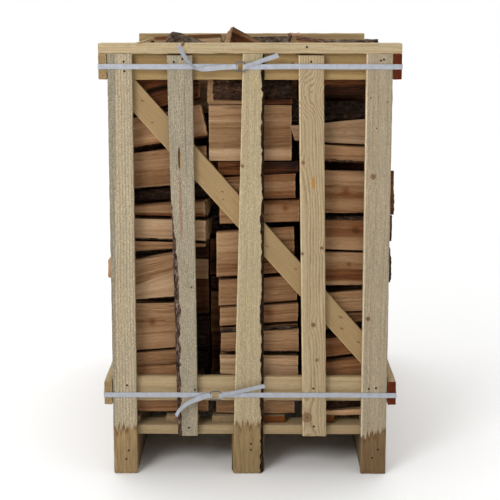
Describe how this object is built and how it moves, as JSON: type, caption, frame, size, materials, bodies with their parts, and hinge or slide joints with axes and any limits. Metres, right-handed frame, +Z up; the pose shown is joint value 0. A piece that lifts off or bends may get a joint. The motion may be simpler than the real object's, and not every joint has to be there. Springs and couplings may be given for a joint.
{
  "type": "crated firewood bundle",
  "caption": "Slatted softwood crate on skids, packed with split firewood logs in columns and tied round with woven straps; open top, pallet forks enter under the deck.",
  "frame": {"origin": "bottom centre of the whole part, on the floor", "axes": "+X to the right along the front, +Y from the front to the back, +Z up"},
  "size_m": [0.8512, 1.2302, 1.2997],
  "materials": {
    "slat_wood": "rough sawn softwood, weathered cream to grey",
    "rail_wood": "rough sawn softwood, warm tan",
    "brace_wood": "rough sawn softwood, pale yellow with small knots",
    "firewood": "split hardwood with dark bark, dry and fibrous",
    "strap_weave": "woven polyester strap, slight sheen",
    "zinc_wire": "dull zinc-coated bent wire"
  },
  "bodies": {
    "root": {"back_brace": "brace_wood", "back_cap": "rail_wood", "back_low_rail": "rail_wood", "back_slat_1": "slat_wood", "back_slat_2": "slat_wood", "back_slat_3": "slat_wood", "back_slat_4": "slat_wood", "back_slat_5": "slat_wood", "back_top_rail": "rail_wood", "cross_board_back": "rail_wood", "cross_board_front": "rail_wood", "cross_board_middle": "rail_wood", "deck_board_1": "slat_wood", "deck_board_2": "slat_wood", "deck_board_3": "slat_wood", "deck_board_4": "slat_wood", "deck_board_5": "slat_wood", "deck_board_6": "slat_wood", "firewood_centre": "firewood", "firewood_left": "firewood", "firewood_right": "firewood", "front_brace": "brace_wood", "front_cap": "rail_wood", "front_low_rail": "rail_wood", "front_slat_1": "slat_wood", "front_slat_2": "slat_wood", "front_slat_3": "slat_wood", "front_slat_4": "slat_wood", "front_slat_5": "slat_wood", "front_top_rail": "rail_wood", "left_low_rail": "rail_wood", "left_slat_1": "slat_wood", "left_slat_2": "slat_wood", "left_slat_3": "slat_wood", "left_slat_4": "slat_wood", "left_slat_5": "slat_wood", "left_top_rail": "rail_wood", "lower_buckle": "zinc_wire", "lower_strap": "strap_weave", "right_low_rail": "rail_wood", "right_slat_1": "slat_wood", "right_slat_2": "slat_wood", "right_slat_3": "slat_wood", "right_slat_4": "slat_wood", "right_slat_5": "slat_wood", "right_top_rail": "rail_wood", "skid_centre": "rail_wood", "skid_left": "rail_wood", "skid_right": "rail_wood", "top_log_1": "firewood", "top_log_2": "firewood", "top_log_3": "firewood", "top_log_4": "firewood", "top_log_5": "firewood", "top_log_6": "firewood", "top_log_7": "firewood", "top_log_8": "firewood", "upper_buckle": "zinc_wire", "upper_strap": "strap_weave"}
  },
  "joints": []
}
